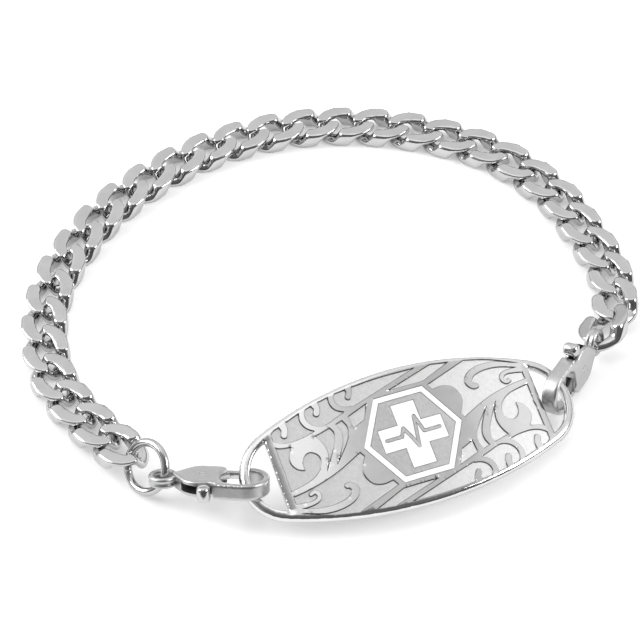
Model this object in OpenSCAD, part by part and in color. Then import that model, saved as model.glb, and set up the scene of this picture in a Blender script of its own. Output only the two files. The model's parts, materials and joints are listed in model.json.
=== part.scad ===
// Medical alert bracelet: an oval steel tag with raised scrollwork, held between two
// lobster clasps on a flat curb chain. It lies as it would on a table, with the tag leaning.
// Lengths are in millimetres and angles in degrees.

/* [Tag] */
// Length of the tag along its bend
tag_l = 39; // [36:0.5:42]
// Width of the tag
tag_w = 16; // [15:0.25:17.5]
// Thickness of the tag
tag_t = 1.1; // [0.9:0.05:1.3]
// Radius of the tag's rounded ends
tag_end_r = 5.4; // [5:0.1:6]
// Radius that the tag is bent to along its length
tag_bend_r = 119; // [100:1:160]
// Width of the rim round each end slot
slot_rim_w = 1.15; // [0.9:0.05:1.3]
// Width of the slots, from their straight side to the rim
slot_w = 2.75; // [2.5:0.05:2.9]
// Depth of the matt recesses between the scrolls
recess_h = 0.2; // [0.1:0.05:0.3]

/* [Emblem] */
// Size of the enamel hexagon from corner to corner
hexagon_w = 11.5; // [10:0.1:12]
// Width of the hexagon's white border
border_w = 0.62; // [0.4:0.02:0.8]
// Reach of the white cross from one end to the other
cross_w = 7.4; // [6:0.1:8]
// Width of the cross's arms
cross_arm_w = 2.7; // [2:0.1:3]
// Width of the pulse line that runs over the cross
pulse_w = 0.42; // [0.3:0.02:0.6]
// Depth of the enamel
enamel_h = 0.15; // [0.1:0.05:0.25]
// Gap between the enamel and its groove
enamel_gap = 0.02; // [0.01:0.01:0.05]

/* [Chain] */
// Distance from one link to the next
link_pitch = 4.4; // [4.2:0.05:4.6]
// Diameter of the links' wire before its faces are cut flat
link_wire_d = 1.45; // [1.3:0.05:1.5]
// Width of the chain
chain_w = 5.2; // [5:0.05:5.6]
// Thickness of the chain between its flat faces
chain_t = 1.9; // [1.8:0.05:2.2]
// Play between two links that hook into each other
link_play = 0.15; // [0.1:0.01:0.25]

/* [Jump ring] */
// Outer diameter of the jump ring
ring_d = 6.3; // [6:0.1:6.8]
// Diameter of the jump ring's wire
ring_wire_d = 0.95; // [0.8:0.05:1.1]

/* [Clasps] */
// Length of a clasp from its bail to the end of its hook
clasp_l = 13.3; // [13:0.1:14]
// Thickness of a clasp between its flat faces
clasp_t = 1.6; // [1.5:0.05:1.8]
// Width of the hook
hook_w = 5; // [4.8:0.1:5.4]
// Width of the hook's band
band_w = 0.68; // [0.5:0.02:0.8]
// Diameter of the clasp's shoulder
shoulder_d = 4.6; // [4.2:0.1:4.8]
// Outer diameter of the bail
bail_d = 3.2; // [3.1:0.05:3.4]
// Diameter of the hole in the bail
bail_hole_d = 2.1; // [2:0.05:2.3]
// Thickness of the bail
bail_t = 1.2; // [1:0.05:1.4]
// Thickness of the lever
lever_t = 0.8; // [0.6:0.05:0.9]
// Diameter of the rivet that the lever turns on
pin_d = 0.8; // [0.6:0.05:1]
// Diameter of the lever's thumb knob
knob_d = 1.5; // [1.3:0.05:1.6]
// Clearance round the lever
lever_gap = 0.07; // [0.05:0.01:0.1]
// Clearance between the lever's bore and the rivet
pin_gap = 0.04; // [0.02:0.01:0.06]

/* [Hidden] */
$fn = 64;

// Where the tag lies: its middle, and its turn about X, then Y, then Z
tag_pos = [8.95, -22.58, 5.2];
tag_turn = [19.2, 2.3, 21.7];

// Each clasp's turn, how far along the tag's rim it hangs, and where the rim passes through
// its hook, from the middle of the hook's end
left_turn = [-27.5, -7, -10];
left_rim_y = 0.45;
left_hold = [-0.13, 0.12, 0];
right_turn = [-77, -4, -121];
right_rim_y = 1.05;
right_hold = [-0.8, -0.1, 0];

// Turn of the jump ring, and where its middle lies from the left clasp's bail
ring_turn = [49, -20, -32];
ring_from_bail = [-1.92, 1.95, -0.47];

// Where the chain's route starts from the ring's middle, and where it ends from the right bail
start_from_ring = [-1.61, 1.42, -1.33];
end_from_bail = [0.13, 0.61, -0.97];

// The chain's route over the table from the jump ring to the right clasp: x, y, the height
// that the pieces it hooks into lift it to, and its twist about its own length. Its ends are
// shifted to the pieces that they hook into, and the shift fades out over this many rows.
route_fade = 6;
chain_route = [
    [-21.5, -23.73, 1.3, 0], [-24.6, -20.5, 0.64, 0], [-27.51, -17.13, 0.27, 0],
    [-30.05, -13.63, 0.06, 0], [-32.05, -9.13, 0, 0], [-32.95, -1.63, 0, 0], [-31.45, 6.27, 0, 0],
    [-26.75, 15.17, 0, 0], [-20.25, 21.97, 0, 0], [-12.75, 26.77, 0, 0], [-4.55, 29.47, 0, 0],
    [4.05, 29.97, 0, 0], [12.85, 28.37, 0, 0], [20.95, 24.57, 0, 0], [27.45, 17.77, 0, 0],
    [30.95, 10.47, 0.04, 0], [32.55, 5.97, 0.2, 1], [33.1, 1.67, 0.5, 5],
    [32.6, -2.68, 0.95, 18], [30.2, -6.33, 1.2, 33]
];

/* Shapes of the scrollwork, in the tag's own plane, for the half left of the emblem.
   The other half is the same turned half round. An outline's rows are x, y and 1 at a
   corner or 0 on a round stretch. A ribbon's rows are x, y and half its width there. */
first_field = [
    [-14.95, 4.2, 0], [-14.4, 4.85, 0], [-13.8, 5.05, 1], [-11.15, 5.9, 1], [-11.3, 5.0, 0],
    [-10.95, 4.1, 0], [-10.2, 3.45, 1], [-11.6, 3.15, 0], [-13.3, 3.1, 0], [-14.5, 3.55, 0]
];
first_curl = [[-13.4, 5.7, 0.5], [-13.2, 4.7, 0.38], [-13.42, 4.05, 0.35]];
second_field = [
    [-10.45, 5.95, 0], [-9.8, 6.25, 1], [-7.55, 6.7, 1], [-7.6, 5.9, 0], [-7.25, 5.1, 0],
    [-6.4, 4.55, 1], [-7.6, 4.15, 0], [-8.9, 3.75, 0], [-10.05, 4.1, 0], [-10.6, 4.95, 0]
];
second_curl = [[-9.3, 6.8, 0.55], [-9.1, 5.9, 0.36], [-9.32, 5.3, 0.35]];
third_field = [
    [-6.7, 6.85, 1], [-2, 7.2, 0], [2.8, 7.2, 1], [-4.4, 5.1, 0], [-5.4, 4.98, 0],
    [-6.3, 5.2, 0], [-6.85, 5.75, 0], [-6.95, 6.4, 0]
];
third_curl = [[-5.1, 7.4, 0.45], [-5.1, 6.6, 0.33], [-5.4, 6.06, 0.31]];
bar_field = [[-0.9, 5.5, 1], [4.7, 7.13, 1], [6.75, 6.85, 1], [3.25, 5.5, 1]];
leaf_field = [
    [-15.2, 3.3, 1], [-14.4, 2.8, 0], [-13.15, 2.55, 1], [-13.7, 1.6, 0], [-13.75, 0.7, 0],
    [-13.3, -0.05, 0], [-12.6, -0.4, 1], [-12.5, 0.6, 0], [-11.95, 1.25, 0], [-11.3, 1.3, 0],
    [-10.7, 0.75, 0], [-10.65, 0, 0], [-11.2, -0.95, 0], [-12.5, -1.7, 0], [-15.2, -2.25, 1],
    [-15.2, -1.3, 1], [-14.75, -0.5, 0], [-14.75, 0.4, 0], [-15.2, 1.1, 1]
];
first_claw = [
    [-10.3, 2.9, 1], [-8.5, 3.32, 1], [-8.25, 2.6, 0], [-8.6, 1.5, 0], [-9.4, 0.25, 0],
    [-10.35, -1.15, 1], [-9.8, 0, 0], [-9.6, 1.1, 0], [-9.85, 2.1, 0]
];
second_claw = [
    [-7.75, 3.5, 1], [-6.95, 3.72, 1], [-6.65, 2.9, 0], [-6.85, 1.9, 0], [-7.6, 0.8, 0],
    [-9.05, -0.8, 1], [-8.1, 0.6, 0], [-7.5, 1.8, 0], [-7.45, 2.7, 0]
];
side_field = [[-6.15, 3.93, 1], [-3.75, 4.78, 1], [-4.55, 3.1, 1], [-6.05, 2.5, 1]];
lower_field = [
    [-15.2, -2.85, 1], [-12.5, -2.5, 0], [-9.5, -1.7, 0], [-6.3, -0.3, 1], [-6, -0.85, 1],
    [-6.6, -1.9, 0], [-6.75, -2.9, 0], [-6.2, -4, 0], [-5.1, -4.42, 0], [-3.95, -4.3, 1],
    [-3.6, -4.95, 1], [-8.6, -6.62, 1], [-11.2, -6.05, 0], [-13.6, -5.2, 0], [-15.2, -4.5, 1]
];
big_scroll = [
    [-15.9, -4.1, 0.5], [-14, -4.7, 0.28], [-12, -5.25, 0.35], [-10.2, -5.28, 0.38],
    [-8.8, -4.85, 0.4], [-8.2, -4.1, 0.42], [-8.5, -3.5, 0.38], [-8.9, -3.4, 0.3]
];
small_scroll = [
    [-15.9, -3.9, 0.45], [-14.2, -4.05, 0.32], [-13, -4.08, 0.24], [-12.3, -3.85, 0.25],
    [-12.1, -3.35, 0.25], [-12.45, -2.98, 0.25], [-12.9, -3.1, 0.22]
];
// Size that the scrollwork's rows are drawn for
drawn_l = 39;
drawn_w = 16;

link_sides = 6;
link_segments = 16;
// How far a link's strands rise, and how long they keep level, on their way over each other
link_rise = 0.82;
link_flatness = 1.2;

// Points between rows on a smooth curve, where a corner row keeps its own direction
function is_corner(row) = len(row) > 2 && row[2] == 1;
function between(a, b, ta, tb, u) =
    (2 * u^3 - 3 * u^2 + 1) * a + (u^3 - 2 * u^2 + u) * ta
    + (3 * u^2 - 2 * u^3) * b + (u^3 - u^2) * tb;
function plan(row) = [row[0], row[1]];
function heading(rows, i, from) =
    let (
        n = len(rows),
        here = plan(rows[i]),
        next = plan(rows[(i + 1) % n]),
        last = plan(rows[(i + n - 1) % n])
    )
    is_corner(rows[i]) ? (from ? next - here : here - last) : (next - last) / 2;
function outline(rows, steps) = [
    for (i = [0:len(rows) - 1])
        let (j = (i + 1) % len(rows), straight = is_corner(rows[i]) && is_corner(rows[j]))
        for (k = [0:(straight ? 0 : steps - 1)])
            between(
                plan(rows[i]), plan(rows[j]),
                heading(rows, i, true), heading(rows, j, false), k / steps
            )
];

// Points along an open smooth curve through all its rows
function open_heading(rows, i) =
    i == 0 ? rows[1] - rows[0]
    : i == len(rows) - 1 ? rows[i] - rows[i - 1]
    : (rows[i + 1] - rows[i - 1]) / 2;
function curve(rows, steps) = concat(
    [for (i = [0:len(rows) - 2]) for (k = [0:steps - 1])
        between(rows[i], rows[i + 1], open_heading(rows, i), open_heading(rows, i + 1), k / steps)],
    [rows[len(rows) - 1]]
);

// Outline of a tapering ribbon with a round end
function unit(v) = v / norm(v);
function side_of(points, i) =
    let (a = points[max(i - 1, 0)], b = points[min(i + 1, len(points) - 1)], d = unit(plan(b - a)))
    [-d[1], d[0]];
function ribbon(rows, steps) =
    let (
        points = curve(rows, steps),
        n = len(points),
        end = points[n - 1],
        out = side_of(points, n - 1),
        ahead = [out[1], -out[0]]
    )
    concat(
        [for (i = [0:n - 2]) plan(points[i]) + points[i][2] * side_of(points, i)],
        [for (a = [0:45:180]) plan(end) + end[2] * (cos(a) * out + sin(a) * ahead)],
        [for (i = [n - 2:-1:0]) plan(points[i]) - points[i][2] * side_of(points, i)]
    );

// A turn about X, then Y, then Z, the same as rotate() makes
function turned(v, a) =
    let (
        x = [v[0], v[1] * cos(a[0]) - v[2] * sin(a[0]), v[1] * sin(a[0]) + v[2] * cos(a[0])],
        y = [x[0] * cos(a[1]) + x[2] * sin(a[1]), x[1], x[2] * cos(a[1]) - x[0] * sin(a[1])]
    )
    [y[0] * cos(a[2]) - y[1] * sin(a[2]), y[0] * sin(a[2]) + y[1] * cos(a[2]), y[2]];

// The tag's outline is four arcs that meet smoothly
tag_end_x = tag_l / 2 - tag_end_r;
tag_side_r = (tag_l^2 / 4 + tag_w^2 / 4 - tag_l * tag_end_r) / (tag_w - 2 * tag_end_r);
tag_arc_y = tag_side_r - tag_w / 2;
slot_x = tag_l / 2 - slot_rim_w - slot_w;

module tag_outline(inset) {
    join_x = (tag_side_r - inset) * tag_end_x / norm([tag_end_x, tag_arc_y]);
    intersection() {
        translate([0, -tag_arc_y]) circle(r = tag_side_r - inset, $fn = 200);
        translate([0, tag_arc_y]) circle(r = tag_side_r - inset, $fn = 200);
        square([2 * join_x, tag_w], center = true);
    }
    for (s = [-1, 1])
        translate([s * tag_end_x, 0]) circle(r = tag_end_r - inset);
}

module slot(side) {
    intersection() {
        tag_outline(slot_rim_w);
        translate([side * (slot_x + tag_w / 2), 0]) square(tag_w, center = true);
    }
}

// A layer of the bent plate between two depths under its top face
module bent_layer(top, bottom) {
    intersection() {
        translate([0, 0, -tag_t * 3]) linear_extrude(tag_t * 5) children();
        translate([0, 0, -tag_bend_r]) rotate([90, 0, 0]) difference() {
            cylinder(r = tag_bend_r - top, h = tag_w * 2, center = true, $fn = 200);
            cylinder(r = tag_bend_r - bottom, h = tag_w * 3, center = true, $fn = 200);
        }
    }
}

module scroll_recesses() {
    field_steps = 3;
    for (half = [0, 180]) rotate(half) {
        difference() {
            polygon(outline(first_field, field_steps));
            polygon(ribbon(first_curl, field_steps));
        }
        difference() {
            polygon(outline(second_field, field_steps));
            polygon(ribbon(second_curl, field_steps));
        }
        difference() {
            polygon(outline(third_field, field_steps));
            polygon(ribbon(third_curl, field_steps));
        }
        difference() {
            polygon(outline(lower_field, field_steps));
            polygon(ribbon(big_scroll, field_steps));
            polygon(ribbon(small_scroll, field_steps));
        }
        polygon(outline(leaf_field, field_steps));
        polygon(outline(first_claw, field_steps));
        polygon(outline(second_claw, field_steps));
        polygon(outline(bar_field, field_steps));
        polygon(outline(side_field, field_steps));
    }
}

module hexagon(corner_r) {
    polygon([for (a = [0:60:300]) corner_r * [cos(a), sin(a)]]);
}

module border_shape(gap) {
    corner = 1 / cos(30);
    difference() {
        hexagon(hexagon_w / 2 - gap * corner);
        hexagon(hexagon_w / 2 - (border_w - gap) * corner);
    }
}

// The pulse line: x and y along the middle of the cross, as shares of its reach
pulse_rows = [
    [-0.42, 0], [-0.18, 0], [-0.12, 0.12], [-0.05, -0.02],
    [0.02, -0.2], [0.1, 0.26], [0.17, 0], [0.42, 0]
];

module pulse_shape(gap) {
    translate(pulse_rows[0] * cross_w) circle(pulse_w / 2 + gap, $fn = 12);
    for (i = [0:len(pulse_rows) - 2]) {
        a = pulse_rows[i] * cross_w;
        b = pulse_rows[i + 1] * cross_w;
        across = [a[1] - b[1], b[0] - a[0]] / norm(b - a) * (pulse_w / 2 + gap);
        polygon([a + across, a - across, b - across, b + across]);
        translate(b) circle(pulse_w / 2 + gap, $fn = 12);
    }
}

module mark_shape(gap) {
    reach = cross_w - 2 * gap;
    arm = cross_arm_w - 2 * gap;
    difference() {
        union() {
            square([reach, arm], center = true);
            square([arm, reach], center = true);
        }
        pulse_shape(gap);
    }
}

module on_tag() {
    translate(tag_pos) rotate(tag_turn) children();
}

module tag_plate() {
    color("silver") on_tag() difference() {
        bent_layer(0, tag_t) difference() {
            tag_outline(0);
            slot(-1);
            slot(1);
        }
        bent_layer(-1, recess_h)
            scale([tag_l / drawn_l, tag_w / drawn_w]) scroll_recesses();
        bent_layer(-1, enamel_h) border_shape(0);
        bent_layer(-1, enamel_h) mark_shape(0);
    }
}

module emblem_frame() {
    color("white") on_tag() bent_layer(0, enamel_h - enamel_gap) border_shape(enamel_gap);
}

module emblem_mark() {
    color("white") on_tag() bent_layer(0, enamel_h - enamel_gap) mark_shape(enamel_gap);
}

// The clasp in its own frame: X runs from the bail to the hook, -Y is the knob's side
bail_x = bail_d / 2;
neck_x = bail_d + 0.15;
neck_r = 0.55;
shoulder_x = 5.8;
shoulder_r = shoulder_d / 2;
flank_angle = acos((neck_r - shoulder_r) / (shoulder_x - neck_x));
pivot = [6, 0.25];
hook_r = hook_w / 2;
hole_r = hook_r - band_w;
hole_start_x = 7.9;
hook_near_x = hole_start_x + hole_r;
hook_far_x = clasp_l - hook_r;
gate_end_x = hook_far_x - 0.5;
root_x = 7.8;
fin_x = 7.95;
knob_pos = [6.9, -3.1];
channel_t = lever_t + 2 * lever_gap;

// Points along an arc from angle a to angle b
function arc(x, y, r, a, b, n) = [
    for (i = [0:n]) let (t = a + (b - a) * i / n) [x, y] + r * [cos(t), sin(t)]
];

// The slanting joint between gate and hook follows an arc round the pivot, so that the gate
// can swing in past the hook's tip
gate_swing_r = norm([gate_end_x, hole_r] - pivot);
function joint_x(y, gap) = pivot[0] + sqrt((gate_swing_r - gap)^2 - (y - pivot[1])^2);

// The clasp seen from its flat side: neck, shoulder, hook, round its hole and back by the fin
function clasp_outline() = concat(
    arc(neck_x, 0, neck_r, flank_angle, 360 - flank_angle, 4),
    arc(shoulder_x, 0, shoulder_r, 360 - flank_angle, 302, 5),
    [[root_x, -shoulder_r + 0.25], [root_x, -hook_r]],
    arc(hook_far_x, 0, hook_r, -90, 90, 12),
    [[joint_x(hook_r, 0), hook_r], [gate_end_x, hole_r]],
    arc(hook_far_x, 0, hole_r, 90, -90, 10),
    arc(hook_near_x, 0, hole_r, 270, 140, 8),
    [[fin_x + 0.3, 1.6], [fin_x + 0.2, 2.05], [fin_x - 0.1, 2.3], [fin_x - 0.6, shoulder_r + 0.08]],
    arc(shoulder_x, 0, shoulder_r, 85, flank_angle, 3)
);

// Where the lever lies and swings between the two cheeks
module channel_shape() {
    bail_side_x = shoulder_x - 1.8;
    root_side_x = root_x - 0.3;
    gate_side_x = shoulder_x - 0.6;
    polygon([
        [bail_side_x, 0.4], [bail_side_x, -hook_w], [root_side_x, -hook_w], [root_side_x, 0.2],
        [fin_x + 1, 0.2], [fin_x + 1, hook_w], [gate_side_x, hook_w], [gate_side_x, 1.5]
    ]);
}

module clasp_body() {
    difference() {
        union() {
            translate([0, 0, -clasp_t / 2]) linear_extrude(clasp_t) polygon(clasp_outline());
            translate([bail_x, 0, -bail_t / 2]) cylinder(d = bail_d, h = bail_t);
        }
        translate([bail_x, 0, -clasp_t]) cylinder(d = bail_hole_d, h = 2 * clasp_t);
        translate([0, 0, -channel_t / 2]) linear_extrude(channel_t) channel_shape();
        translate([pivot[0], pivot[1], -clasp_t]) cylinder(d = pin_d, h = 2 * clasp_t);
    }
}

module lever() {
    hub_r = pin_d / 2 + 0.55;
    inner_y = hole_r + lever_gap;
    difference() {
        union() {
            translate([0, 0, -lever_t / 2]) linear_extrude(lever_t) {
                translate(pivot) circle(hub_r);
                polygon([
                    pivot, pivot + [0, hub_r * 0.9],
                    [hole_start_x, hook_r], [joint_x(hook_r, lever_gap), hook_r],
                    [joint_x(inner_y, lever_gap), inner_y], [hole_start_x + 0.6, inner_y],
                    pivot + [hub_r * 0.9, 0]
                ]);
                polygon([
                    pivot - [hub_r, 0], pivot + [hub_r, 0],
                    knob_pos + [knob_d / 4, 0], knob_pos - [knob_d / 4, 0]
                ]);
            }
            translate([knob_pos[0], knob_pos[1], -clasp_t / 2]) cylinder(d = knob_d, h = clasp_t);
        }
        translate([pivot[0], pivot[1], -clasp_t]) cylinder(d = pin_d + 2 * pin_gap, h = 2 * clasp_t);
    }
}

module pin() {
    translate([pivot[0], pivot[1], -clasp_t / 2]) cylinder(d = pin_d, h = clasp_t);
}

// The middle of the rim at the tag's left (-1) or right (1) end, at the given Y of the tag
function rim_middle(side, y) =
    let (
        plan_r = tag_end_r - slot_rim_w / 2,
        depth_r = tag_bend_r - tag_t / 2,
        x = side * (tag_end_x + sqrt(plan_r^2 - y^2))
    )
    tag_pos + turned([x, y, sqrt(depth_r^2 - x^2) - tag_bend_r], tag_turn);

hook_middle = [hook_far_x, 0, 0];
left_pos = rim_middle(-1, left_rim_y) - turned(hook_middle + left_hold, left_turn);
right_pos = rim_middle(1, right_rim_y) - turned(hook_middle + right_hold, right_turn);

module at_left() {
    translate(left_pos) rotate(left_turn) children();
}

module at_right() {
    translate(right_pos) rotate(right_turn) children();
}

module left_clasp_body() {
    color("silver") at_left() clasp_body();
}

module left_clasp_lever() {
    color("gainsboro") at_left() lever();
}

module left_clasp_pin() {
    color("gray") at_left() pin();
}

module right_clasp_body() {
    color("silver") at_right() clasp_body();
}

module right_clasp_lever() {
    color("gainsboro") at_right() lever();
}

module right_clasp_pin() {
    color("gray") at_right() pin();
}

left_bail = left_pos + turned([bail_x, 0, 0], left_turn);
right_bail = right_pos + turned([bail_x, 0, 0], right_turn);
ring_pos = left_bail + ring_from_bail;

module jump_ring() {
    color("silver") translate(ring_pos) rotate(ring_turn)
        rotate_extrude() translate([(ring_d - ring_wire_d) / 2, 0]) circle(d = ring_wire_d, $fn = 32);
}

// The route as a fine line, the length along it, and the place at a given length
function place(row) = [row[0], row[1], row[2]];
last_row = len(chain_route) - 1;
start_shift = ring_pos + start_from_ring - place(chain_route[0]);
end_shift = right_bail + end_from_bail - place(chain_route[last_row]);
function fade(rows_in) = 1 - min(1, max(0, rows_in - 1) / route_fade);
function shifted_row(i) =
    let (p = place(chain_route[i]) + fade(i) * start_shift + fade(last_row - i) * end_shift)
    [p[0], p[1], max(0, p[2]), chain_route[i][3]];
route_line = curve([for (i = [0:last_row]) shifted_row(i)], 8);
function lengths(points, i = 0, sum = 0, found = []) =
    i == len(points) - 1 ? concat(found, [sum])
    : lengths(points, i + 1, sum + norm(place(points[i + 1]) - place(points[i])), concat(found, [sum]));
route_lengths = lengths(route_line);
route_length = route_lengths[len(route_lengths) - 1];
link_count = round(route_length / link_pitch);
link_step = route_length / link_count;
route_x = [for (i = [0:len(route_line) - 1]) [route_lengths[i], route_line[i][0]]];
route_y = [for (i = [0:len(route_line) - 1]) [route_lengths[i], route_line[i][1]]];
route_z = [for (i = [0:len(route_line) - 1]) [route_lengths[i], route_line[i][2]]];
route_twist = [for (i = [0:len(route_line) - 1]) [route_lengths[i], route_line[i][3]]];
function route_at(s) = [lookup(s, route_x), lookup(s, route_y), lookup(s, route_z)];
function link_name(i) = str("link_", i < 10 ? "0" : "", i);

link_half_l = (link_step + link_wire_d + link_play) / 2;
link_half_w = (chain_w - link_wire_d * cos(30)) / 2;

function clamp(v, limit) = max(-limit, min(limit, v));
function link_middle(t) = [
    link_half_l * cos(t),
    link_half_w * sin(t),
    -link_rise * clamp(link_flatness * sin(2 * t), 1)
];
// One corner of the wire's section, k of link_sides, cut off at the chain's flat faces
function link_corner(t, k) =
    let (
        out = unit([link_half_w * cos(t), link_half_l * sin(t), 0]),
        a = 30 + 360 * k / link_sides,
        p = link_middle(t) + link_wire_d / 2 * (cos(a) * out + sin(a) * [0, 0, 1])
    )
    [p[0], p[1], clamp(p[2], chain_t / 2)];

module curb_link() {
    corners = [
        for (i = [0:link_segments - 1]) for (k = [0:link_sides - 1])
            link_corner(360 * i / link_segments, k)
    ];
    faces = [
        for (i = [0:link_segments - 1]) for (k = [0:link_sides - 1])
            let (
                next = (i + 1) % link_segments * link_sides,
                up = (k + 1) % link_sides,
                a = i * link_sides + k,
                b = next + k,
                c = next + up,
                d = i * link_sides + up
            )
            each [[a, c, b], [a, d, c]]
    ];
    polyhedron(corners, faces);
}

module link(i) {
    middle = route_at((i - 0.5) * link_step);
    ahead = route_at((i - 0.1) * link_step) - route_at((i - 0.9) * link_step);
    twist = lookup((i - 0.5) * link_step, route_twist);
    color("silver") translate(middle + [0, 0, chain_t / 2])
        rotate([twist, -asin(ahead[2] / norm(ahead)), atan2(ahead[1], ahead[0])]) curb_link();
}

tag_plate();
emblem_frame();
emblem_mark();
jump_ring();
left_clasp_body();
left_clasp_lever();
left_clasp_pin();
right_clasp_body();
right_clasp_lever();
right_clasp_pin();
for (i = [1:link_count])
    link(i);
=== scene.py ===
import json
import math

import bpy
import numpy as np
from mathutils import Euler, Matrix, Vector
from mathutils.geometry import delaunay_2d_cdt


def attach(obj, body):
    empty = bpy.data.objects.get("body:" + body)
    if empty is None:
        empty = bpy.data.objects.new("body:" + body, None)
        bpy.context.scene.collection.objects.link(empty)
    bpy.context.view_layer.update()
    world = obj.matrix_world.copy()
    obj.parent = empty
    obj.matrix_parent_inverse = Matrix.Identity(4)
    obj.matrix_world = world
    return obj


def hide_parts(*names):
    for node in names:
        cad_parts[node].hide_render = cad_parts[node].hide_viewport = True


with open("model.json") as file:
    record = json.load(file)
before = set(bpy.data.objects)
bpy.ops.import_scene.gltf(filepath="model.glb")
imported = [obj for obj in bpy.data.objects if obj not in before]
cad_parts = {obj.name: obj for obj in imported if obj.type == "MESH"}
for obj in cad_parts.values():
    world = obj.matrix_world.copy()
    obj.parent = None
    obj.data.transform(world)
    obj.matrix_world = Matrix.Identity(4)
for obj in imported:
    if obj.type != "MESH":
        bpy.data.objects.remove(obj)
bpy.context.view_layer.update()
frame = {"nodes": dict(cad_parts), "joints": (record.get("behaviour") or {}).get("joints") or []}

# Studio: a white paper table, a camera looking down at the front, and a pale sky with two soft
# lamps. The sky is brightest overhead and dark towards the camera, so the steel has dark edges.
MM = 0.001
view_elevation = math.radians(48.5)
camera_distance = 247 * MM
picture_px = 640
px_per_mm = 8.6
camera_aim = Vector((-1.15, -1.63, 0)) * MM
sky_strength = 1.7
floor_reach = 3.0


def add_camera():
    lens = bpy.data.cameras.new("camera")
    lens.angle = 2 * math.atan(picture_px / px_per_mm * MM / camera_distance / 2)
    lens.sensor_width = 36
    lens.clip_start = 0.01
    lens.clip_end = 20
    camera = bpy.data.objects.new("camera", lens)
    bpy.context.scene.collection.objects.link(camera)
    away = Vector((0, -math.cos(view_elevation), math.sin(view_elevation)))
    camera.location = camera_aim + camera_distance * away
    camera.rotation_euler = away.to_track_quat("Z", "Y").to_euler()
    bpy.context.scene.camera = camera


class Nodes:
    """Short calls for making a shader: a node, and its links from other sockets or values."""

    def __init__(self, tree):
        self.tree = tree
        tree.nodes.clear()

    def add(self, kind, settings=None, **inputs):
        node = self.tree.nodes.new("ShaderNode" + kind)
        for name, value in (settings or {}).items():
            setattr(node, name, value)
        for name, value in inputs.items():
            self.plug(value, node.inputs[name.replace("_", " ")])
        return node

    def plug(self, value, socket):
        if isinstance(value, bpy.types.NodeSocket):
            self.tree.links.new(value, socket)
        else:
            socket.default_value = value

    def math(self, operation, *values):
        node = self.add("Math", {"operation": operation})
        for value, socket in zip(values, node.inputs):
            self.plug(value, socket)
        return node.outputs[0]

    def blend(self, a, share_a, b, share_b):
        return self.math("ADD", self.math("MULTIPLY", a, share_a), self.math("MULTIPLY", b, share_b))

    def mix(self, blend, a, b, factor):
        node = self.add("Mix", {"data_type": "RGBA", "blend_type": blend})
        for value, socket in ((factor, "Factor_Float"), (a, "A_Color"), (b, "B_Color")):
            self.plug(value, next(i for i in node.inputs if i.identifier == socket))
        return next(o for o in node.outputs if o.identifier == "Result_Color")

    def ramp(self, factor, *stops):
        node = self.add("ValToRGB", Fac=factor)
        elements = node.color_ramp.elements
        elements[0].position = stops[0][0]
        elements[1].position = stops[-1][0]
        for place, _ in stops[1:-1]:
            elements.new(place)
        for element, (_, grey) in zip(elements, stops):
            element.color = (grey, grey, grey, 1)
        return node.outputs["Color"]


def light_sky():
    bpy.context.scene.view_settings.view_transform = "Standard"
    world = bpy.data.worlds.new("studio")
    bpy.context.scene.world = world
    world.use_nodes = True
    n = Nodes(world.node_tree)
    way = n.add("SeparateXYZ", Vector=n.add("TexCoord").outputs["Generated"]).outputs
    across, depth, height = (n.math("MULTIPLY_ADD", way[axis], 0.5, 0.5) for axis in "XYZ")
    overhead = n.ramp(across, (0.0, 0.5), (0.3, 0.8), (0.46, 0.93), (0.56, 0.92), (0.605, 0.5),
                      (0.715, 0.42), (0.775, 0.85), (1.0, 0.6))
    side = n.ramp(across, (0.0, 0.5), (0.3, 0.7), (0.5, 0.6), (0.7, 0.7), (1.0, 0.45))
    back = n.ramp(depth, (0.0, 0.12), (0.3, 0.16), (0.44, 0.3), (0.505, 0.95), (1.0, 1.0))
    left = n.ramp(across, (0.0, 0.5), (0.15, 0.5), (0.32, 0.0), (1.0, 0.0))
    open_side = n.mix("LIGHTEN", back, left, 1.0)
    low = n.ramp(height, (0.0, 0.05), (0.5, 0.1), (0.58, 0.7), (0.7, 1.0), (1.0, 1.0))
    up = n.ramp(height, (0.0, 0.0), (0.88, 0.0), (0.95, 1.0), (1.0, 1.0))
    wall = n.mix("MULTIPLY", side, low, 1.0)
    sky = n.mix("MULTIPLY", n.mix("MIX", wall, overhead, up), open_side, 1.0)
    background = n.add("Background", Color=sky, Strength=sky_strength)
    n.add("OutputWorld", Surface=background.outputs[0])


def add_light(name, place, width, power):
    lamp = bpy.data.lights.new(name, "AREA")
    lamp.size = width
    lamp.energy = power
    light = bpy.data.objects.new(name, lamp)
    bpy.context.scene.collection.objects.link(light)
    light.location = place
    light.rotation_euler = Vector(place).to_track_quat("Z", "Y").to_euler()


def new_material(name):
    material = bpy.data.materials.new(name)
    material.use_nodes = True
    return material, Nodes(material.node_tree)


def add_floor():
    mesh = bpy.data.meshes.new("floor")
    corners = [(x * floor_reach, y * floor_reach, 0) for x, y in ((-1, -1), (1, -1), (1, 1), (-1, 1))]
    mesh.from_pydata(corners, [], [(0, 1, 2, 3)])
    floor = bpy.data.objects.new("floor", mesh)
    bpy.context.scene.collection.objects.link(floor)
    material, n = new_material("white_paper")
    speckle = n.add("TexNoise", Scale=900.0, Detail=3.0).outputs["Fac"]
    grey = n.ramp(speckle, (0.3, 0.93), (0.7, 0.95))
    shaded = n.mix("MULTIPLY", grey, (0.85, 0.85, 0.85, 1), 1.0)
    paper = n.add("BsdfPrincipled", Base_Color=shaded, Roughness=0.9,
                  Emission_Color=grey, Emission_Strength=0.32)
    n.add("OutputMaterial", Surface=paper.outputs[0])
    mesh.materials.append(material)


add_camera()
light_sky()
add_light("left", place=(-0.75, 0.15, 0.5), width=0.6, power=6.5)
add_light("right", place=(0.85, -0.15, 0.6), width=0.5, power=6.0)
add_floor()


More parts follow.
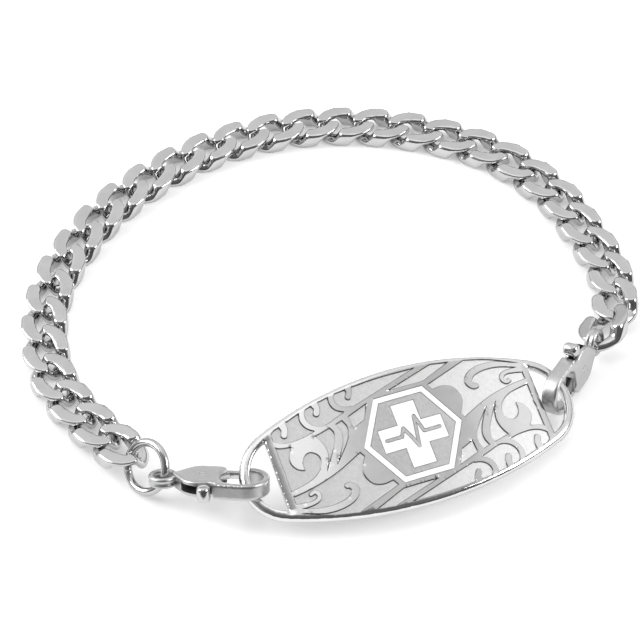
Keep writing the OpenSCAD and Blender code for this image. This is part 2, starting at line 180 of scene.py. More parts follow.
# Chain: thirty interlocked curb links of polished steel wire. The top and the underside of each
# are cut flat and bright, and its wire dips where the next links pass over and under it.
link_half_l = 2.95  # from the link's middle to the wire's middle at its end
link_side_w = 1.75  # the wire's width along the link's sides
link_end_w = 1.35
edge_sharpness = 18
chain_w = 5.5
chain_t = 1.9
uncut_t = 3.2  # the wire's height before its faces are cut
dip_at = 38  # the dip's middle, in degrees round the link from its end
dip_floor = 22  # how far its floor and the whole dip reach from there, in degrees
dip_reach = 52
dip_gap = 0.05


def node_points(name):
    """A CAD node's separate corners in millimetres."""
    corners = [v.co for v in frame["nodes"][name].data.vertices]
    return np.unique(np.round(np.array(corners) / MM, 4), axis=0)


def own_axes(points):
    """The middle of a shape and its longest, middle and shortest axes as a matrix's columns."""
    middle = points.mean(axis=0)
    _, axes = np.linalg.eigh(np.cov((points - middle).T))
    axes = axes[:, ::-1]
    if np.linalg.det(axes) < 0:
        axes[:, 1] *= -1
    return middle, axes


def metal_surface(n, colour, rough, bump):
    metal = n.add("BsdfPrincipled", Base_Color=colour, Metallic=1.0, Roughness=rough,
                  Normal=bump.outputs[0])
    n.add("OutputMaterial", Surface=metal.outputs[0])


def polished_steel(name, shade, roughness, grain=3500.0, grain_depth=0.02):
    material, n = new_material(name)
    where = n.add("TexCoord").outputs["Object"]
    wear = n.add("TexNoise", Vector=where, Scale=420.0, Detail=4.0).outputs["Fac"]
    fine = n.add("TexNoise", Vector=where, Scale=grain, Detail=2.0).outputs["Fac"]
    colour = n.ramp(wear, (0.35, shade - 0.03), (0.65, shade + 0.02))
    rough = n.math("MULTIPLY_ADD", wear, roughness * 0.8, roughness * 0.6)
    bump = n.add("Bump", Strength=grain_depth, Distance=0.00002, Height=fine)
    metal_surface(n, colour, rough, bump)
    return material


def add_piece(name, corners, faces, materials, node, body="bracelet"):
    """A piece made of corners in millimetres, which stands for a CAD node and moves with its body."""
    mesh = bpy.data.meshes.new(name)
    mesh.from_pydata([Vector(c) * MM for c in corners], [], faces)
    mesh.validate()
    piece = bpy.data.objects.new(name, mesh)
    bpy.context.scene.collection.objects.link(piece)
    for material in materials:
        mesh.materials.append(material)
    for face in mesh.polygons:
        face.use_smooth = True
    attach(piece, body)
    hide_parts(node)
    return piece


def tube_faces(rings, sides, closed=True):
    faces = []
    for i in range(rings if closed else rings - 1):
        for k in range(sides):
            a = i * sides + k
            b = (i + 1) % rings * sides + k
            c = (i + 1) % rings * sides + (k + 1) % sides
            faces.append((a, b, c, i * sides + (k + 1) % sides))
    return faces


def strand_top(t):
    """The height of a link's upper side at t degrees round it before its faces are cut. It dips
    in two places where the next links pass over it."""
    away = abs((t - dip_at + 90) % 180 - 90)
    share = max(0.0, min(1.0, (dip_reach - away) / (dip_reach - dip_floor)))
    return uncut_t / 2 - (uncut_t / 2 + dip_gap) * share * share * (3 - 2 * share)


def wire_section(width, low, top, sides):
    """Corners of the wire's section: an oval cut off at the chain's two flat faces, with softly
    rounded edges. A corner is its distance outwards and its height."""
    half_w, half_h, limit = width / 2, (top - low) / 2, chain_t / 2
    middle = (top + low) / 2
    start = (min(top, limit) + max(low, -limit)) / 2
    corners = []
    for k in range(sides):
        a = 2 * math.pi * k / sides
        slope = (math.cos(a) / half_w)**2 + (math.sin(a) / half_h)**2
        offset = 2 * math.sin(a) * (start - middle) / half_h**2
        rest = ((start - middle) / half_h)**2 - 1
        to_oval = (math.sqrt(offset**2 - 4 * slope * rest) - offset) / (2 * slope)
        to_face = abs(math.copysign(limit, math.sin(a)) - start) / max(abs(math.sin(a)), 1e-9)
        reach = (to_oval**-edge_sharpness + to_face**-edge_sharpness)**(-1 / edge_sharpness)
        corners.append((reach * math.cos(a), start + reach * math.sin(a)))
    return corners


def link_corners(rings, sides):
    half_w = (chain_w - link_side_w) / 2
    corners = []
    for i in range(rings):
        turn = 360 * i / rings
        t = math.radians(turn)
        middle = Vector((link_half_l * math.cos(t), half_w * math.sin(t), 0))
        out = Vector((half_w * math.cos(t), link_half_l * math.sin(t), 0)).normalized()
        width = link_end_w + (link_side_w - link_end_w) * math.sin(t)**2
        section = wire_section(width, -strand_top(-turn), strand_top(turn), sides)
        corners += [middle + u * out + z * Vector((0, 0, 1)) for u, z in section]
    return corners


def add_links():
    steel = polished_steel("chain_steel", shade=0.53, roughness=0.1)
    rings, sides = 120, 32
    link = np.array(link_corners(rings, sides))
    for name in sorted(n for n in frame["nodes"] if n.startswith("link_")):
        middle, axes = own_axes(node_points(name))
        add_piece(name + "_bright", link @ axes.T + middle, tube_faces(rings, sides), [steel],
                  name)


add_links()


# Jump ring: a ring of round polished wire whose cut ends meet in a fine butt seam. It joins
# the left clasp's bail to the first link.
ring_d = 6.3
ring_wire_d = 0.95
ring_turn = (49, -20, -32)
ring_pos = (-19.89, -25.15, 2.63)
seam_at = 200  # in degrees round the ring
seam_w = 0.6


def placed(corners, turn, middle):
    """Corners turned about X, then Y, then Z by degrees, and moved to a middle."""
    turned = Euler([math.radians(a) for a in turn]).to_matrix()
    return np.array(corners) @ np.array(turned).T + np.array(middle)


def add_jump_ring():
    rings, sides = 140, 28
    corners = []
    for i in range(rings):
        t = math.radians(seam_at + seam_w / 2 + (360 - seam_w) * i / (rings - 1))
        for k in range(sides):
            a = 2 * math.pi * k / sides
            r = (ring_d - ring_wire_d) / 2 + ring_wire_d / 2 * math.cos(a)
            corners.append((r * math.cos(t), r * math.sin(t), ring_wire_d / 2 * math.sin(a)))
    faces = tube_faces(rings, sides, closed=False)
    faces.append(tuple(range(sides)))
    faces.append(tuple(range(rings * sides - 1, (rings - 1) * sides - 1, -1)))
    steel = polished_steel("ring_steel", shade=0.5, roughness=0.12)
    add_piece("ring_bright", placed(corners, ring_turn, ring_pos), faces, [steel],
              "jump_ring")


add_jump_ring()


# Tag: a cast oval steel plate, slightly bent along its length, with a D-shaped slot at each
# end. Its scrollwork and rim are polished, the recesses are blasted matt, the lips round them
# are painted dark steel as painted shade, and the back is brushed.
tag_pos = (8.95, -22.58, 5.2)
tag_turn = (19.2, 2.3, 21.7)
tag_l = 39
tag_w = 16
tag_t = 1.1
tag_end_r = 5.4
tag_bend_r = 119
slot_rim_w = 1.15
slot_x = 15.6  # the straight side of each slot
edge_round = 0.62
under_round = 0.4
slot_round = 0.32
slot_bar_w = 0.9  # the bar beside the slot's straight side, and how far it slopes down
slot_bar_drop = 0.14
field_end_x = 14.75
recess_h = 0.16
lip_start = 0.05  # how far outside a recess's outline its lip starts
lip_w = 0.1
groove_h = 0.15
emblem_field_h = 0.05

# The scrollwork's recesses for the half left of the emblem. A row is x, y and 1 at a corner
# or 0 on a round stretch. A curl or scroll is raised metal in a recess: x, y, half its width.
first_field = [
    (-14.95, 4.2, 0), (-14.4, 4.85, 0), (-13.8, 5.05, 1), (-11.15, 5.9, 1), (-11.3, 5.0, 0),
    (-10.95, 4.1, 0), (-10.2, 3.45, 1), (-11.6, 3.15, 0), (-13.3, 3.1, 0), (-14.5, 3.55, 0)]
first_curl = [(-13.4, 5.7, 0.5), (-13.2, 4.7, 0.38), (-13.42, 4.05, 0.35)]
second_field = [
    (-10.45, 5.95, 0), (-9.8, 6.25, 1), (-7.55, 6.7, 1), (-7.6, 5.9, 0), (-7.25, 5.1, 0),
    (-6.4, 4.55, 1), (-7.6, 4.15, 0), (-8.9, 3.75, 0), (-10.05, 4.1, 0), (-10.6, 4.95, 0)]
second_curl = [(-9.3, 6.8, 0.55), (-9.1, 5.9, 0.36), (-9.32, 5.3, 0.35)]
third_field = [
    (-6.7, 6.85, 1), (-2, 7.2, 0), (2.8, 7.2, 1), (-4.4, 5.1, 0), (-5.4, 4.98, 0),
    (-6.3, 5.2, 0), (-6.85, 5.75, 0), (-6.95, 6.4, 0)]
third_curl = [(-5.1, 7.4, 0.45), (-5.1, 6.6, 0.33), (-5.4, 6.06, 0.31)]
bar_field = [(-0.9, 5.5, 1), (4.7, 7.13, 1), (6.75, 6.85, 1), (3.25, 5.5, 1)]
leaf_field = [
    (-15.2, 3.3, 1), (-14.4, 2.8, 0), (-13.15, 2.55, 1), (-13.7, 1.6, 0), (-13.75, 0.7, 0),
    (-13.3, -0.05, 0), (-12.6, -0.4, 1), (-12.5, 0.6, 0), (-11.95, 1.25, 0), (-11.3, 1.3, 0),
    (-10.7, 0.75, 0), (-10.65, 0, 0), (-11.2, -0.95, 0), (-12.5, -1.7, 0), (-15.2, -2.25, 1),
    (-15.2, -1.3, 1), (-14.75, -0.5, 0), (-14.75, 0.4, 0), (-15.2, 1.1, 1)]
first_claw = [
    (-10.3, 2.9, 1), (-8.5, 3.32, 1), (-8.25, 2.6, 0), (-8.6, 1.5, 0), (-9.4, 0.25, 0),
    (-10.35, -1.15, 1), (-9.8, 0, 0), (-9.6, 1.1, 0), (-9.85, 2.1, 0)]
second_claw = [
    (-7.75, 3.5, 1), (-6.95, 3.72, 1), (-6.65, 2.9, 0), (-6.85, 1.9, 0), (-7.6, 0.8, 0),
    (-9.05, -0.8, 1), (-8.1, 0.6, 0), (-7.5, 1.8, 0), (-7.45, 2.7, 0)]
side_field = [(-6.15, 3.93, 1), (-3.75, 4.78, 1), (-4.55, 3.1, 1), (-6.05, 2.5, 1)]
lower_field = [
    (-15.2, -2.85, 1), (-12.5, -2.5, 0), (-9.5, -1.7, 0), (-6.3, -0.3, 1), (-6, -0.85, 1),
    (-6.6, -1.9, 0), (-6.75, -2.9, 0), (-6.2, -4, 0), (-5.1, -4.42, 0), (-3.95, -4.3, 1),
    (-3.6, -4.95, 1), (-8.6, -6.62, 1), (-11.2, -6.05, 0), (-13.6, -5.2, 0), (-15.2, -4.5, 1)]
big_scroll = [
    (-15.9, -4.1, 0.5), (-14, -4.7, 0.28), (-12, -5.25, 0.35), (-10.2, -5.28, 0.38),
    (-8.8, -4.85, 0.4), (-8.2, -4.1, 0.42), (-8.5, -3.5, 0.38), (-8.9, -3.4, 0.3)]
small_scroll = [
    (-15.9, -3.9, 0.45), (-14.2, -4.05, 0.32), (-13, -4.08, 0.24), (-12.3, -3.85, 0.25),
    (-12.1, -3.35, 0.25), (-12.45, -2.98, 0.25), (-12.9, -3.1, 0.22)]
hexagon_w = 11.5
hexagon_line_w = 0.62
cross_w = 7.4
cross_arm_w = 2.7
pulse_w = 0.42
pulse_rows = [
    (-0.42, 0), (-0.18, 0), (-0.12, 0.12), (-0.05, -0.02),
    (0.02, -0.2), (0.1, 0.26), (0.17, 0), (0.42, 0)]
enamel_gap = 0.05
least_gap = 0.008  # points closer together than this are left out of a net
fan_angle = 0.25  # between points that go round a corner, in radians


def between(a, b, heading_a, heading_b, u):
    return ((2 * u**3 - 3 * u**2 + 1) * a + (u**3 - 2 * u**2 + u) * heading_a
            + (3 * u**2 - 2 * u**3) * b + (u**3 - u**2) * heading_b)


def field_loop(rows, steps=9):
    """A recess's outline: smooth through the round rows, with a corner at each corner row."""
    points = np.array([row[:2] for row in rows], float)
    corner = [row[2] == 1 for row in rows]
    n = len(rows)
    loop = []
    for i in range(n):
        j = (i + 1) % n
        leave = points[j] - points[i] if corner[i] else (points[j] - points[i - 1]) / 2
        reach = points[j] - points[i] if corner[j] else (points[(j + 1) % n] - points[i]) / 2
        for k in range(steps):
            loop.append(between(points[i], points[j], leave, reach, k / steps))
    return np.array(loop)


def scroll_loop(rows, steps=8):
    """A scroll's outline: a ribbon of changing width with a round end."""
    rows = np.array(rows, float)
    n = len(rows)
    heading = [rows[min(i + 1, n - 1)] - rows[max(i - 1, 0)] for i in range(n)]
    heading = [h if i in (0, n - 1) else h / 2 for i, h in enumerate(heading)]
    line = [between(rows[i], rows[i + 1], heading[i], heading[i + 1], k / steps)
            for i in range(n - 1) for k in range(steps)] + [rows[-1]]
    line = np.array(line)
    along = np.gradient(line[:, :2], axis=0)
    along /= np.linalg.norm(along, axis=1)[:, None]
    out = np.stack([-along[:, 1], along[:, 0]], axis=1)
    left = line[:, :2] + line[:, 2:] * out
    right = line[:, :2] - line[:, 2:] * out
    end = [line[-1, :2] + line[-1, 2] * (math.cos(a) * out[-1] + math.sin(a) * along[-1])
           for a in np.linspace(0, math.pi, 10)[1:-1]]
    return np.concatenate([left, end, right[::-1]])


def arc(x, y, r, start, end, steps):
    """Points along an arc between two angles in degrees."""
    angles = np.radians(np.linspace(start, end, steps + 1))
    return np.stack([x + r * np.cos(angles), y + r * np.sin(angles)], axis=1)


def tag_loop():
    end_x = tag_l / 2 - tag_end_r
    side_r = (tag_l**2 / 4 + tag_w**2 / 4 - tag_l * tag_end_r) / (tag_w - 2 * tag_end_r)
    side_y = side_r - tag_w / 2
    join = math.degrees(math.atan2(side_y, end_x))
    return np.concatenate([
        arc(end_x, 0, tag_end_r, -join, join, 48)[:-1],
        arc(0, -side_y, side_r, join, 180 - join, 96)[:-1],
        arc(-end_x, 0, tag_end_r, 180 - join, 180 + join, 48)[:-1],
        arc(0, side_y, side_r, 180 + join, 360 - join, 96)[:-1]])


def slot_loop(side):
    end_x = tag_l / 2 - tag_end_r
    r = tag_end_r - slot_rim_w
    wide = math.degrees(math.acos((slot_x - end_x) / r))
    bow = arc(end_x, 0, r, -wide, wide, 56)
    straight = np.linspace(bow[-1], bow[0], 40)[1:-1]
    return side * np.concatenate([bow, straight])


def hexagon_loop(width):
    return arc(0, 0, width / 2, 0, 300, 5)


def cross_loop():
    long, short = cross_w / 2, cross_arm_w / 2
    arm = np.array([(long, -short), (long, short), (short, short)])
    return np.concatenate([arm, arm[:, ::-1] * (-1, 1), -arm, arm[:, ::-1] * (1, -1)])


def inside(loop, points):
    """Which points lie inside a closed loop."""
    found = np.zeros(len(points), bool)
    for a, b in zip(loop, np.roll(loop, -1, axis=0)):
        if a[1] == b[1]:
            continue
        level = (a[1] > points[:, 1]) != (b[1] > points[:, 1])
        found ^= level & (points[:, 0] < a[0] + (points[:, 1] - a[1]) * (b[0] - a[0]) / (b[1] - a[1]))
    return found


def distance(loop, points):
    """How far each point lies outside a closed loop, and less than 0 inside it."""
    nearest = np.full(len(points), np.inf)
    for a, b in zip(loop, np.roll(loop, -1, axis=0)):
        along = (b - a) @ (b - a)
        if along == 0:
            continue
        share = np.clip((points - a) @ (b - a) / along, 0, 1)
        nearest = np.minimum(nearest, ((points - a - share[:, None] * (b - a))**2).sum(axis=1))
    return np.where(inside(loop, points), -1, 1) * np.sqrt(nearest)


def rows_beside(loop, offsets, gap=0.14):
    """Rows of points along a loop at several distances from it, so that a lip there is round."""
    points = []
    last_out = None
    for a, b in zip(loop, np.roll(loop, -1, axis=0)):
        length = np.linalg.norm(b - a)
        if length < 1e-6:
            continue
        out = np.array([b[1] - a[1], a[0] - b[0]]) / length
        turn = 0 if last_out is None else math.acos(max(-1.0, min(1.0, out @ last_out)))
        steps = round(turn / fan_angle)
        for share in np.arange(1, steps) / max(1, steps):
            fan = (1 - share) * last_out + share * out
            points += [a + d * fan / np.linalg.norm(fan) for d in offsets]
        last_out = out
        count = max(1, round(length / gap))
        for share in np.arange(0.5, count) / count:
            for d in offsets:
                points.append(a + share * (b - a) + d * out)
    return np.array(points)


def grid_over(loop, gap):
    low, high = loop.min(axis=0), loop.max(axis=0)
    x, y = np.meshgrid(np.arange(low[0], high[0], gap), np.arange(low[1], high[1], gap))
    x[::2] += gap / 2
    return np.stack([x.ravel(), y.ravel()], axis=1)


def net_over(loops, points, keep):
    """A flat net of triangles with the loops as edges, kept where keep() says so. Corners that no
    kept triangle uses are left out."""
    points = np.concatenate(points)
    points = points[keep(points)]
    cells = np.round(points / least_gap).astype(int)
    points = points[np.unique(cells, axis=0, return_index=True)[1]]
    edges = []
    start = 0
    for loop in loops:
        n = len(loop)
        edges += [(start + i, start + (i + 1) % n) for i in range(n)]
        start += n
    corners = [Vector(p) for p in np.concatenate(list(loops) + [points])]
    made = delaunay_2d_cdt(corners, edges, [], 0, 1e-5, False)
    net = np.array([tuple(v) for v in made[0]])
    faces = np.array([f for f in made[2]])
    faces = faces[keep(net[faces].mean(axis=1))]
    used, places = np.unique(faces, return_inverse=True)
    return net[used], places.reshape(faces.shape)


def thick_piece(net, faces, top, low):
    """The corners and faces of a piece with the net as its top and underside and a wall round it."""
    n = len(net)
    pairs = np.concatenate([faces[:, [0, 1]], faces[:, [1, 2]], faces[:, [2, 0]]]).tolist()
    back = {(b, a) for a, b in pairs}
    walls = [(n + a, n + b, b, a) for a, b in pairs if (a, b) not in back]
    corners = np.concatenate([np.column_stack([net, top]), np.column_stack([net, low])])
    return corners, [tuple(f) for f in faces] + [tuple(n + f[::-1]) for f in faces] + walls


def drop_at_edge(depth, r):
    """How far a rounded edge of radius r lies under its face, at each depth in from the edge."""
    left = np.clip(r - depth, 0, r)
    return r - np.sqrt(r * r - left * left)


def matt_steel(name, shade, roughness, grain, grain_depth):
    material, n = new_material(name)
    where = n.add("TexCoord").outputs["Object"]
    fine = n.add("TexNoise", Vector=where, Scale=grain, Detail=3.0).outputs["Fac"]
    wide = n.add("TexNoise", Vector=where, Scale=2600.0, Detail=4.0).outputs["Fac"]
    colour = n.ramp(n.blend(fine, 0.6, wide, 0.4), (0.38, shade - 0.05), (0.62, shade + 0.05))
    rough = n.math("MULTIPLY_ADD", wide, 0.2, roughness - 0.1)
    bump = n.add("Bump", Strength=grain_depth, Distance=0.00004, Height=fine)
    metal_surface(n, colour, rough, bump)
    return material


def brushed_steel(name, shade, roughness, stretch):
    """Steel with fine scratches along one way, which stretch gives as scales across X, Y and Z."""
    material, n = new_material(name)
    where = n.add("TexCoord").outputs["Object"]
    lines = n.add("Mapping", Vector=where, Scale=stretch).outputs[0]
    scratch = n.add("TexNoise", Vector=lines, Scale=1.0, Detail=4.0).outputs["Fac"]
    wear = n.add("TexNoise", Vector=where, Scale=300.0, Detail=3.0).outputs["Fac"]
    colour = n.ramp(n.blend(scratch, 0.6, wear, 0.4), (0.35, shade - 0.04), (0.65, shade + 0.03))
    rough = n.math("MULTIPLY_ADD", scratch, 0.25, roughness - 0.12)
    bump = n.add("Bump", Strength=0.25, Distance=0.00002, Height=scratch)
    metal_surface(n, colour, rough, bump)
    return material


border = tag_loop()
slots = [slot_loop(1), slot_loop(-1)]
outer_hexagon = hexagon_loop(hexagon_w)
inner_hexagon = hexagon_loop(hexagon_w - 2 * hexagon_line_w / math.cos(math.radians(30)))
cross = cross_loop()
pulse = np.array(pulse_rows) * cross_w


def tag_fields():
    """The recesses, each with the scrolls that stand in it. The half right of the emblem is the
    left one turned half round."""
    half = [
        (field_loop(first_field), [scroll_loop(first_curl)]),
        (field_loop(second_field), [scroll_loop(second_curl)]),
        (field_loop(third_field), [scroll_loop(third_curl)]),
        (field_loop(lower_field), [scroll_loop(big_scroll), scroll_loop(small_scroll)])]
    for rows in (leaf_field, first_claw, second_claw, bar_field, side_field):
        half.append((field_loop(rows), []))
    return half + [(-field, [-scroll for scroll in raised]) for field, raised in half]


def scroll_depth(points, fields):
    """How deep in a recess each point lies: less than 0 inside one, and more than 0 on the metal."""
    nearest = np.full(len(points), np.inf)
    for field, raised in fields:
        here = distance(field, points)
        for scroll in raised:
            here = np.maximum(here, -distance(scroll, points))
        nearest = np.minimum(nearest, here)
    return np.maximum(nearest, np.abs(points[:, 0]) - field_end_x)


def pulse_distance(points):
    nearest = np.full(len(points), np.inf)
    for a, b in zip(pulse, pulse[1:]):
        share = np.clip((points - a) @ (b - a) / ((b - a) @ (b - a)), 0, 1)
        nearest = np.minimum(nearest, np.linalg.norm(points - a - share[:, None] * (b - a), axis=1))
    return nearest - pulse_w / 2


def on_tag(points):
    return inside(border, points) & ~inside(slots[0], points) & ~inside(slots[1], points)


def tag_points(fields):
    """Points close together where the tag's face bends, and a wide grid elsewhere."""
    round_rows = [-d * edge_round for d in (0.04, 0.12, 0.24, 0.4, 0.65, 1.0)]
    bar_rows = [d * slot_bar_w for d in (0.02, 0.06, 0.14, 0.26, 0.42, 0.6, 0.8, 1.0)]
    lip_rows = (-0.1, -0.07, -0.05, -0.03, 0.0, 0.03, 0.05, 0.07, 0.12)
    line_rows = (-0.02, 0.02, enamel_gap - 0.01, enamel_gap + 0.02)
    points = [rows_beside(border, round_rows, gap=0.3), grid_over(border, gap=0.42)]
    points += [rows_beside(slot, bar_rows, gap=0.2) for slot in slots]
    for field, raised in fields:
        points += [rows_beside(loop, lip_rows) for loop in [field] + raised]
    for end_x in (-field_end_x, field_end_x):
        points.append(rows_beside(np.array([(end_x, -6), (end_x, 6)]), lip_rows))
    points.append(rows_beside(outer_hexagon, line_rows, gap=0.1))
    points.append(rows_beside(inner_hexagon, [-d for d in line_rows], gap=0.1))
    points.append(rows_beside(cross, line_rows, gap=0.15))
    for a, b in zip(pulse, pulse[1:]):
        length = np.linalg.norm(b - a)
        out = np.array([b[1] - a[1], a[0] - b[0]]) / length
        count = max(2, round(length / 0.12))
        for share in (np.arange(count) + 0.5) / count:
            points.append(np.array([a + share * (b - a) + side * (pulse_w / 2 - d) * out
                                    for side in (-1, 1) for d in line_rows]))
    return points


def tag_drop(net, fields):
    """How far the tag's face lies under its highest level at each point, and how far its back
    lies above its lowest."""
    in_from_border = -distance(border, net)
    slot_away = np.minimum(distance(slots[0], net), distance(slots[1], net))
    by_bar = np.clip((slot_x + 0.35 - np.abs(net[:, 0])) / 0.5, 0, 1)
    bar_drop = slot_bar_drop * np.clip(1 - slot_away / slot_bar_w, 0, 1)**2
    rim_drop = drop_at_edge(slot_away, slot_round)
    recess = recess_h * np.clip((lip_start - scroll_depth(net, fields)) / lip_w, 0, 1)
    in_hexagon = np.maximum(distance(outer_hexagon, net), -distance(inner_hexagon, net))
    in_mark = np.maximum(distance(cross, net), -pulse_distance(net))
    groove = np.where(np.minimum(in_hexagon, in_mark) < enamel_gap, groove_h, 0)
    emblem = np.where(distance(inner_hexagon, net) < 0, emblem_field_h, 0)
    down = np.maximum(np.maximum(recess, groove), emblem)
    down += drop_at_edge(in_from_border, edge_round) + by_bar * bar_drop + (1 - by_bar) * rim_drop
    return down, drop_at_edge(in_from_border, under_round) + rim_drop


def add_tag():
    fields = tag_fields()
    net, faces = net_over([border] + slots, tag_points(fields), on_tag)
    down, up = tag_drop(net, fields)
    top = np.sqrt((tag_bend_r - down)**2 - net[:, 0]**2) - tag_bend_r
    low = np.sqrt((tag_bend_r - tag_t + up)**2 - net[:, 0]**2) - tag_bend_r
    corners, all_faces = thick_piece(net, faces, top, low)
    polish, matt, ground, back, lip = range(5)
    metals = [
        polished_steel("tag_polish", shade=0.66, roughness=0.12, grain=2500.0, grain_depth=0.03),
        matt_steel("tag_recess", shade=0.66, roughness=0.42, grain=9000.0, grain_depth=0.5),
        matt_steel("emblem_ground", shade=0.52, roughness=0.4, grain=7000.0, grain_depth=0.3),
        brushed_steel("tag_back", shade=0.52, roughness=0.36, stretch=(500, 9000, 500)),
        # The lip steel is painted dark (shade 0.2): painted shade along the recesses' edges.
        polished_steel("tag_lip_painted_shade", shade=0.2, roughness=0.3, grain=5000.0, grain_depth=0.1)]
    tag = add_piece("tag_cast", placed(corners, tag_turn, tag_pos), all_faces, metals,
                    "tag_plate")
    middles = net[faces].mean(axis=1)
    depth = scroll_depth(middles, fields)
    # Faces on a recess's lip get the dark steel that paints in the shade there.
    face_metals = np.where(depth < lip_start - lip_w, matt, np.where(depth < lip_start, lip, polish))
    face_metals[inside(inner_hexagon, middles)] = ground
    back_metals = np.full(len(faces), back)
    wall_metals = np.full(len(all_faces) - 2 * len(faces), polish)
    tag.data.polygons.foreach_set("material_index", np.concatenate(
        [face_metals, back_metals, wall_metals]).astype(np.int32))
    tag.data.set_sharp_from_angle(angle=math.radians(50))


add_tag()


# Emblem: hard white enamel laid in the tag's grooves: a hexagon border, and a cross with a
# pulse line left in it. Fired enamel is smooth and glossy with faint waves.
def white_enamel():
    material, n = new_material("white_enamel")
    where = n.add("TexCoord").outputs["Object"]
    waves = n.add("TexNoise", Vector=where, Scale=900.0, Detail=2.0).outputs["Fac"]
    specks = n.add("TexNoise", Vector=where, Scale=6000.0, Detail=2.0).outputs["Fac"]
    colour = n.ramp(specks, (0.3, 0.93), (0.6, 0.96))
    rough = n.math("MULTIPLY_ADD", waves, 0.2, 0.1)
    bump = n.add("Bump", Strength=0.1, Distance=0.00003, Height=waves)
    enamel = n.add("BsdfPrincipled", Base_Color=colour, Roughness=rough, Normal=bump.outputs[0])
    n.add("OutputMaterial", Surface=enamel.outputs[0])
    return material


def add_enamel():
    enamel = white_enamel()
    for name in ("emblem_frame", "emblem_mark"):
        piece = frame["nodes"][name]
        piece.data.materials.clear()
        piece.data.materials.append(enamel)


add_enamel()


# Clasps: two cast lobster clasps with satin faces. Each has a grooved bail, a shoulder whose
# two cheeks hold the lever between them, and a flat hook that holds the tag's rim.
clasp_turns = {"left": (-27.5, -7, -10), "right": (-77, -4, -121)}
pivot = np.array((6, 0.25))
clasp_l = 13.3
clasp_t = 1.75
hook_r = 2.5
band_w = 0.68
hole_r = hook_r - band_w
shoulder_x = 5.8
shoulder_r = 2.3
neck_x = 3.35
neck_r = 0.55
hole_start_x = 7.9
root_x = 7.8  # where the hook leaves the shoulder
fin_x = 7.95  # where the cheeks end beside the gate
gate_end_x = 10.3
cheek_round = 0.2
lever_t = 0.8
lever_gap = 0.07
lever_round = 0.1
pin_r = 0.4
pin_gap = 0.04
pin_fit = 0.015
hub_w = 0.55
knob_pos = (6.9, -3.1)
knob_r = 0.75
bail_r = 1.6
bail_hole_r = 1.05
bail_t = 1.2
bail_groove = 0.62  # the share of the wire's width that is left in the groove


def joint_x(y, gap):
    """The slanting joint between gate and hook, on an arc round the pivot."""
    swing_r = math.hypot(gate_end_x - pivot[0], hole_r - pivot[1])
    return pivot[0] + math.sqrt((swing_r - gap)**2 - (y - pivot[1])**2)


def clasp_loop():
    flank = math.degrees(math.acos((neck_r - shoulder_r) / (shoulder_x - neck_x)))
    hook_x = clasp_l - hook_r
    return np.concatenate([
        arc(neck_x, 0, neck_r, flank, 360 - flank, 12),
        arc(shoulder_x, 0, shoulder_r, 360 - flank, 302, 20),
        [(root_x, -shoulder_r + 0.25), (root_x, -hook_r)],
        arc(hook_x, 0, hook_r, -90, 90, 48),
        [(joint_x(hook_r, 0), hook_r), (gate_end_x, hole_r)],
        arc(hook_x, 0, hole_r, 90, -90, 36),
        arc(hole_start_x + hole_r, 0, hole_r, 270, 140, 30),
        [(fin_x + 0.3, 1.6), (fin_x + 0.2, 2.05), (fin_x - 0.1, 2.3), (fin_x - 0.6, shoulder_r + 0.08)],
        arc(shoulder_x, 0, shoulder_r, 85, flank, 14)])


def plate(loops, keep, away, low, high, round_low, round_high, gap=0.22):
    """A flat piece between two heights with rounded edges. away() is the depth in from its edge."""
    rows = [d * max(round_low, round_high, 0.02) for d in (0.073, 0.293, 0.617, 1.0)]
    points = [rows_beside(loop, [-d for d in rows], gap) for loop in loops]
    points += [rows_beside(loop, rows, gap) for loop in loops]
    points.append(grid_over(loops[0], 0.35))
    net, faces = net_over(loops, points, keep)
    depth = away(net)
    top = high - drop_at_edge(depth, round_high) if round_high else np.full(len(net), high)
    under = low + drop_at_edge(depth, round_low) if round_low else np.full(len(net), low)
    return thick_piece(net, faces, top, under)


def lathe(profile, steps, middle=(0, 0)):
    """A piece turned round an upright axis, from rows of radius and height."""
    corners = [(middle[0] + r * math.cos(a), middle[1] + r * math.sin(a), z)
               for a in np.linspace(0, 2 * math.pi, steps, endpoint=False) for r, z in profile]
    n = len(profile)
    faces = [(i * n + k, (i + 1) % steps * n + k, (i + 1) % steps * n + k + 1, i * n + k + 1)
             for i in range(steps) for k in range(n - 1)]
    return corners, faces


def joined(*pieces):
    """Several corners and faces as one."""
    corners, faces = [], []
    for some_corners, some_faces in pieces:
        start = len(corners)
        corners += [tuple(c) for c in some_corners]
        faces += [tuple(start + int(i) for i in f) for f in some_faces]
    return corners, faces


def clasp_body():
    outline = clasp_loop()
    hole = arc(pivot[0], pivot[1], pin_r + pin_fit, 0, 360, 24)[:-1]
    slit = lever_t / 2 + lever_gap
    side_x, root_side_x, gate_side_x = shoulder_x - 1.8, root_x - 0.3, shoulder_x - 0.6
    past = 2 * hook_r  # well outside the clasp
    channel = np.array([
        (side_x, 0.4), (side_x, -past), (root_side_x, -past), (root_side_x, 0.2),
        (fin_x + 1, 0.2), (fin_x + 1, past), (gate_side_x, past), (gate_side_x, 1.5)])

    def on_cheek(p):
        return inside(outline, p) & ~inside(hole, p)

    def edge_depth(p):
        return np.abs(distance(outline, p))

    def in_core(p):
        return inside(outline, p) & ~inside(channel, p)

    top = plate([outline, hole], on_cheek, edge_depth, slit, clasp_t / 2, 0, cheek_round)
    low = plate([outline, hole], on_cheek, edge_depth, -clasp_t / 2, -slit, cheek_round, 0)
    core = plate([outline, channel], in_core, edge_depth, -slit, slit, 0, 0)
    middle_r = (bail_r + bail_hole_r) / 2
    wire = (bail_r - bail_hole_r) / 2
    profile = []
    for side in (1, -1):
        for a in np.linspace(-90, 90, 19) * side:
            z = bail_t / 2 * math.sin(math.radians(a))
            bulge = math.sqrt(max(0, 1 - ((abs(z) - bail_t / 4) / (bail_t / 4))**2))
            if abs(z) < bail_t / 4:
                bulge = max(bulge, bail_groove)
            profile.append((middle_r + side * wire * bulge, z))
    bail = lathe(profile + profile[:1], 48, (bail_r, 0))
    return joined(top, low, core, bail)


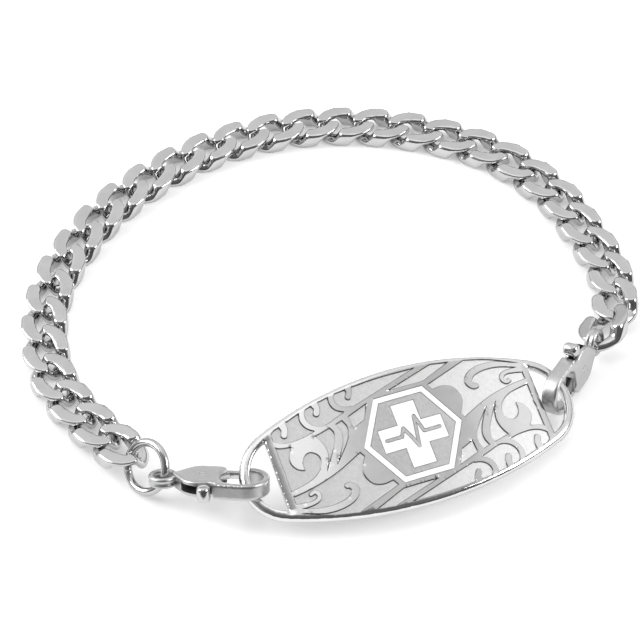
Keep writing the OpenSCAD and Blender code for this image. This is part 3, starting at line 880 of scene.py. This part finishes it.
def lever():
    hub_r = pin_r + hub_w
    inner_y = hole_r + lever_gap
    hub = arc(pivot[0], pivot[1], hub_r, 0, 360, 40)[:-1]
    bore = arc(pivot[0], pivot[1], pin_r + pin_gap, 0, 360, 24)[:-1]
    arm = np.array([
        (pivot[0], pivot[1]), (pivot[0] + hub_r * 0.9, pivot[1]), (hole_start_x + 0.6, inner_y),
        (joint_x(inner_y, lever_gap), inner_y), (joint_x(hook_r, lever_gap), hook_r),
        (hole_start_x, hook_r), (pivot[0], pivot[1] + hub_r * 0.9)])
    thumb = np.array([
        (pivot[0] - hub_r, pivot[1]), (knob_pos[0] - knob_r / 2, knob_pos[1]),
        (knob_pos[0] + knob_r / 2, knob_pos[1]), (pivot[0] + hub_r, pivot[1])])

    def away(p):
        return np.minimum(np.minimum(distance(hub, p), distance(arm, p)), distance(thumb, p))

    def keep(p):
        return (away(p) < 0) & ~inside(bore, p)

    arms = plate([hub, arm, thumb, bore], keep, lambda p: -away(p), -lever_t / 2, lever_t / 2,
                 lever_round, lever_round, gap=0.15)
    half_knob = [(0.001, 1), (0.45, 0.99), (0.68, 0.95), (0.86, 0.84), (0.96, 0.68), (1, 0.48), (1, 0)]
    knob = half_knob + [(r, -z) for r, z in half_knob[-2::-1]]
    profile = [(knob_r * r, clasp_t / 2 * z) for r, z in knob]
    return joined(arms, lathe(profile[::-1], 36, knob_pos))


def pin():
    top = clasp_t / 2
    profile = [
        (0.001, top + 0.05), (pin_r * 0.5, top + 0.04), (pin_r * 0.85, top + 0.01), (pin_r, top - 0.04)]
    profile += [(r, -z) for r, z in profile[::-1]]
    return lathe(profile[::-1], 32, pivot)


def add_clasps():
    satin = brushed_steel("clasp_satin", shade=0.5, roughness=0.34, stretch=(2600, 2600, 2600))
    bright = polished_steel("clasp_polish", shade=0.52, roughness=0.16)
    shapes = {"body": clasp_body(), "lever": lever(), "pin": pin()}
    for side, turn in clasp_turns.items():
        hinge = next(j for j in frame["joints"] if side in j["name"])
        turned_pivot = placed([(pivot[0], pivot[1], 0)], turn, (0, 0, 0))[0]
        middle = np.array(hinge["pos_m"]) / MM - turned_pivot
        for part, (corners, faces) in shapes.items():
            body = side + "_lever" if part == "lever" else "bracelet"
            metal = satin if part == "body" else bright
            piece = add_piece(f"{side}_{part}_cast", placed(corners, turn, middle), faces, [metal],
                              f"{side}_clasp_{part}", body)
            piece.data.set_sharp_from_angle(angle=math.radians(40))


add_clasps()
